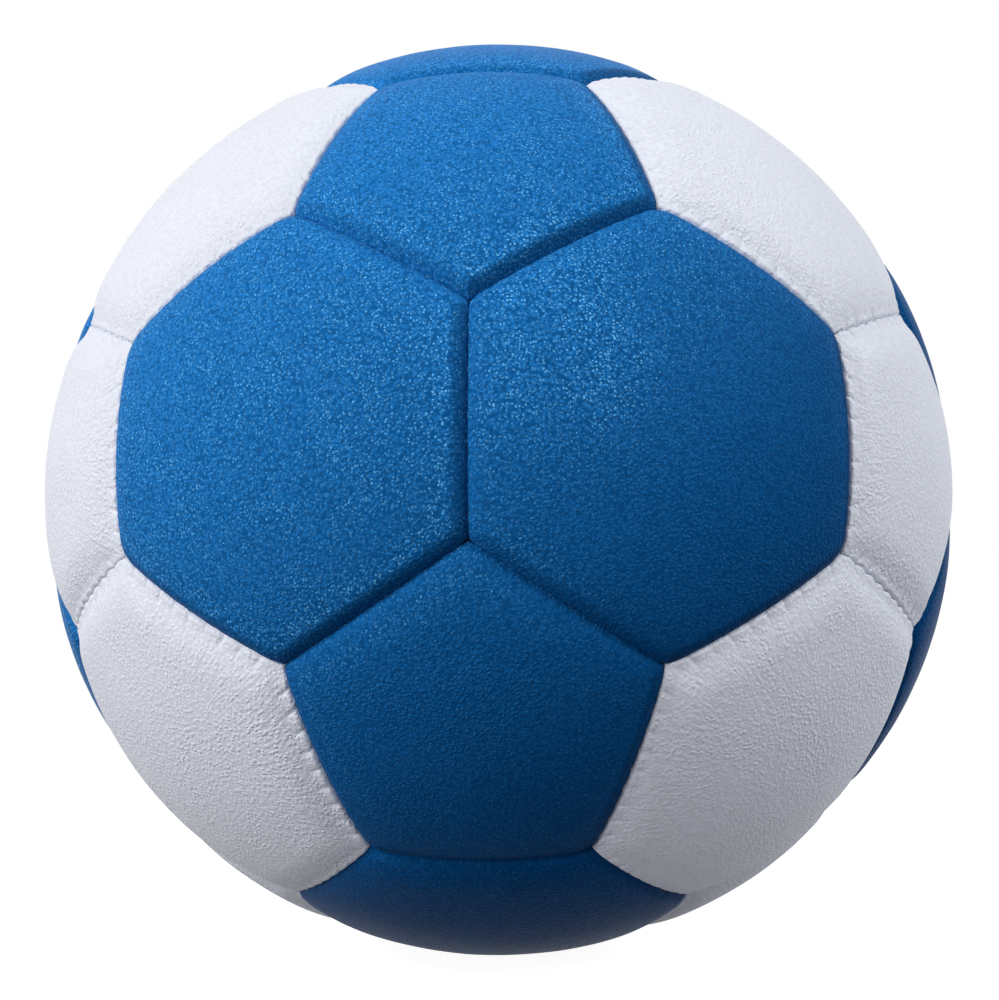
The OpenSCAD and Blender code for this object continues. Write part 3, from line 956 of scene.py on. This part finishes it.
def foam_material(colour):
    """Foam with fine open cells and faint, broad stains."""
    g = Finish("foam", colour, {"Roughness": 0.95, "Specular IOR Level": 0.2})
    cell, _ = g.cells(g.place, 0.5 * MM)
    cloud = g.noise(g.place, 8 * MM)
    shade = g.colour(g.smooth(cell, 0.2, 0.8) * 0.45, colour, dimmed(colour, 0.6))
    return g.end(
        g.colour(cloud * 0.25, shade, dimmed(colour, 0.82)), cloud * 0.1 + 0.88, cell, 0.15 * MM)


def woven_material(name, colour, pitch):
    """Plain cloth: two sets of yarns, each over and under the other."""
    g = Finish(name, colour, {"Roughness": 0.9, "Specular IOR Level": 0.2})
    x, y, z = g.parts(g.place)
    first = g.sin((x + y * 0.35) * (2 * pi / pitch))
    second = g.sin((z - y * 0.35) * (2 * pi / pitch))
    weave = (g.math("MAXIMUM", first, second) + 1.0) * 0.5
    wear_and_painted_light = g.noise(g.place, 5 * MM, detail=3.0)
    shade = g.colour(weave, dimmed(colour, 0.55), colour)
    return g.end(
        g.colour(wear_and_painted_light * 0.3, shade, dimmed(colour, 0.8)), wear_and_painted_light * 0.15 + 0.8, weave, pitch * 0.15)


def rubber_material(name, colour, roughness):
    """Moulded rubber with a dusty bloom and a fine matt grain."""
    g = Finish(name, colour, {"Roughness": roughness, "Specular IOR Level": 0.45})
    bloom = g.noise(g.place, 6 * MM, detail=4.0)
    dusty = tuple(part * 1.6 + 0.012 for part in colour)
    return g.end(
        g.colour(g.smooth(bloom, 0.42, 0.7) * 0.5, colour, dusty),
        bloom * 0.2 + roughness - 0.08, g.noise(g.place, 0.3 * MM), 0.03 * MM)


def dress(node_name, material):
    """Gives a carried-over CAD node its material."""
    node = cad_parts[node_name]
    node.data.materials.clear()
    node.data.materials.append(material)


class HANDBALL_OT_covers(bpy.types.Operator):
    """Build the 32 padded cover panels"""

    bl_idname = "handball.covers"
    bl_label = "Cover Panels"
    bl_options = {"REGISTER", "UNDO"}

    def execute(self, context):
        settings, colours = context.scene.handball_covers, context.scene.handball_colours
        blues = (colours.blue, colours.blue_worn, colours.blue_sheen, colours.blue_dots)
        white = tuple(colours.white)
        # The white's grain tops and dots are a little paler, as painted highlights where light is
        # painted
        pale = tuple(min(part * 1.04, 0.97) for part in white)
        materials = {
            "blue": leather_material("blue_cover", *map(tuple, blues), LOOKS["blue"]),
            "white": leather_material("white_cover", white, white, pale, pale, LOOKS["white"]),
        }
        tree = cover_tree()
        for name, middle, sides, colour in PANELS:
            piece = cover_panel(tree, name, middle, sides, colour, settings, materials[colour])
            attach(piece, BODY)
            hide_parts(name)
        return {"FINISHED"}


class HANDBALL_OT_stitches(bpy.types.Operator):
    """Build the thread in the 90 seams"""

    bl_idname = "handball.stitches"
    bl_label = "Stitches"
    bl_options = {"REGISTER", "UNDO"}

    def execute(self, context):
        settings, covers = context.scene.handball_stitches, context.scene.handball_covers
        material = thread_material(tuple(context.scene.handball_colours.thread))
        tree = thread_tree()
        for name, by_pentagon in (("pentagon_seam_threads", True), ("hexagon_seam_threads", False)):
            seams = [seam for seam in seam_list() if seam[2] == by_pentagon]
            piece = seam_threads(tree, f"sewn_{name}", seams, settings, covers, material)
            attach(piece, BODY)
            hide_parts(name)
        return {"FINISHED"}


class HANDBALL_OT_filling(bpy.types.Operator):
    """Finish the foam pads and the cloth linings"""

    bl_idname = "handball.filling"
    bl_label = "Pads and Linings"
    bl_options = {"REGISTER", "UNDO"}

    def execute(self, context):
        colours = context.scene.handball_colours
        foam = foam_material(tuple(colours.foam))
        lining = woven_material("lining", tuple(colours.lining), LINING_YARN)
        for shape in ("pentagon", "hexagon"):
            dress(f"{shape}_foam_pads", foam)
            dress(f"{shape}_linings", lining)
        return {"FINISHED"}


class HANDBALL_OT_bladder(bpy.types.Operator):
    """Finish the bladder, the valve and its patch"""

    bl_idname = "handball.bladder"
    bl_label = "Bladder and Valve"
    bl_options = {"REGISTER", "UNDO"}

    def execute(self, context):
        colours = context.scene.handball_colours
        rubber = tuple(colours.rubber)
        dress("bladder", rubber_material("bladder", rubber, 0.42))
        dress("valve_housing", rubber_material("valve_rubber", rubber, 0.5))
        dress("valve_plug", rubber_material("valve_plug", rubber, 0.6))
        dress("valve_patch", woven_material("patch", tuple(colours.patch), PATCH_YARN))
        return {"FINISHED"}


def seen_ray(g):
    """1 for the rays that show the background: the camera's, and those in gloss and glass."""
    rays = g.add("ShaderNodeLightPath").socket.node.outputs
    camera, gloss, glass = (
        Value(g, rays[f"Is {kind} Ray"]) for kind in ("Camera", "Glossy", "Transmission"))
    return g.math("MAXIMUM", camera, g.math("MAXIMUM", gloss, glass))


def pale_floor(settings, lowest):
    """A white floor under the ball, which keeps the ball's soft shadow."""
    half = settings.floor_size / 2
    mesh = bpy.data.meshes.new("floor")
    mesh.from_pydata(
        [(x * half, y * half, lowest) for x, y in ((-1, -1), (1, -1), (1, 1), (-1, 1))],
        [], [(0, 1, 2, 3)])
    material = bpy.data.materials.new("floor")
    g = ShaderGraph(material)
    lit = g.add("ShaderNodeBsdfDiffuse", {"Color": FLOOR_SEEN})
    glow = g.add("ShaderNodeEmission", {"Color": WHITE, "Strength": FLOOR_GLOW})
    shown = g.add("ShaderNodeAddShader", {0: lit, 1: glow})
    dark = g.add("ShaderNodeBsdfDiffuse", {"Color": FLOOR_UNSEEN})
    mixed = g.add("ShaderNodeMixShader", {0: seen_ray(g), 1: dark, 2: shown})
    g.add("ShaderNodeOutputMaterial", {"Surface": mixed})
    mesh.materials.append(material)
    return new_object("floor", mesh)


def pale_world(settings):
    """White where it is seen, and a soft light for the surfaces that is stronger from above."""
    world = bpy.data.worlds.new("studio")
    bpy.context.scene.world = world
    g = ShaderGraph(world)
    _, _, up = g.parts(g.add("ShaderNodeTexCoord", output="Generated"))
    level = g.smooth(up, -1.0, 1.0) * 0.4 + 0.75
    soft = g.add("ShaderNodeBackground", {
        "Color": COOL, "Strength": level * settings.ambient})
    white = g.add("ShaderNodeBackground", {"Color": WHITE})
    mixed = g.add("ShaderNodeMixShader", {0: seen_ray(g), 1: soft, 2: white})
    g.add("ShaderNodeOutputWorld", {"Surface": mixed})


def lamp(name, place, size, colour, power):
    """A round lamp that points at the ball."""
    data = bpy.data.lights.new(name, "AREA")
    data.shape = "DISK"
    data.size, data.energy, data.color = size, power, colour[:3]
    light = new_object(name, data)
    light.location = place
    light.rotation_euler = Vector(place).to_track_quat("Z", "Y").to_euler()


class HANDBALL_OT_stage(bpy.types.Operator):
    """Set up the camera, the lamps and the pale floor"""

    bl_idname = "handball.stage"
    bl_label = "Stage"
    bl_options = {"REGISTER", "UNDO"}

    def execute(self, context):
        scene = context.scene
        settings, radius = scene.handball_stage, scene.handball_covers.ball_radius
        pale_floor(settings, cad_box[0].z)
        pale_world(settings)
        for name, place, size, colour in LAMPS:
            lamp(name, place, size, colour, getattr(settings, f"{name}_power"))
        azimuth, elevation = settings.camera_azimuth, settings.camera_elevation
        back = Vector(
            (sin(azimuth) * cos(elevation), -cos(azimuth) * cos(elevation), sin(elevation)))
        data = bpy.data.cameras.new("camera")
        camera = new_object("camera", data)
        camera.location = back * radius * settings.camera_distance
        camera.rotation_euler = back.to_track_quat("Z", "Y").to_euler()
        # The ball's outline is seen at the angle whose sine is 1 / camera_distance
        data.lens = data.sensor_width * settings.ball_share / 2 * sqrt(
            settings.camera_distance ** 2 - 1)
        data.clip_start, data.clip_end = 0.01, 50
        scene.camera = camera
        scene.view_settings.view_transform = "Standard"
        return {"FINISHED"}


class HANDBALL_PT_panel(bpy.types.Panel):
    """The builders of the handball"""

    bl_label = "Handball"
    bl_idname = "HANDBALL_PT_panel"
    bl_space_type = "VIEW_3D"
    bl_region_type = "UI"
    bl_category = "Handball"

    def draw(self, context):
        for operator in OPERATORS:
            self.layout.operator(operator.bl_idname)
        for name in SETTINGS:
            box = self.layout.box()
            group = getattr(context.scene, name)
            for item in group.__annotations__:
                box.prop(group, item)


SETTINGS = {
    "handball_covers": HandballCoverSettings, "handball_stitches": HandballStitchSettings,
    "handball_colours": HandballColourSettings, "handball_stage": HandballStageSettings,
}
OPERATORS = (
    HANDBALL_OT_covers, HANDBALL_OT_stitches, HANDBALL_OT_filling, HANDBALL_OT_bladder,
    HANDBALL_OT_stage,
)
CLASSES = (*SETTINGS.values(), *OPERATORS, HANDBALL_PT_panel)


def register():
    for cls in CLASSES:
        bpy.utils.register_class(cls)
    for name, group in SETTINGS.items():
        setattr(bpy.types.Scene, name, bpy.props.PointerProperty(type=group))


def unregister():
    for name in SETTINGS:
        delattr(bpy.types.Scene, name)
    for cls in reversed(CLASSES):
        bpy.utils.unregister_class(cls)


def main():
    register()
    bpy.ops.handball.covers()
    bpy.ops.handball.stitches()
    bpy.ops.handball.filling()
    bpy.ops.handball.bladder()
    bpy.ops.handball.stage()


if __name__ == "__main__":
    main()
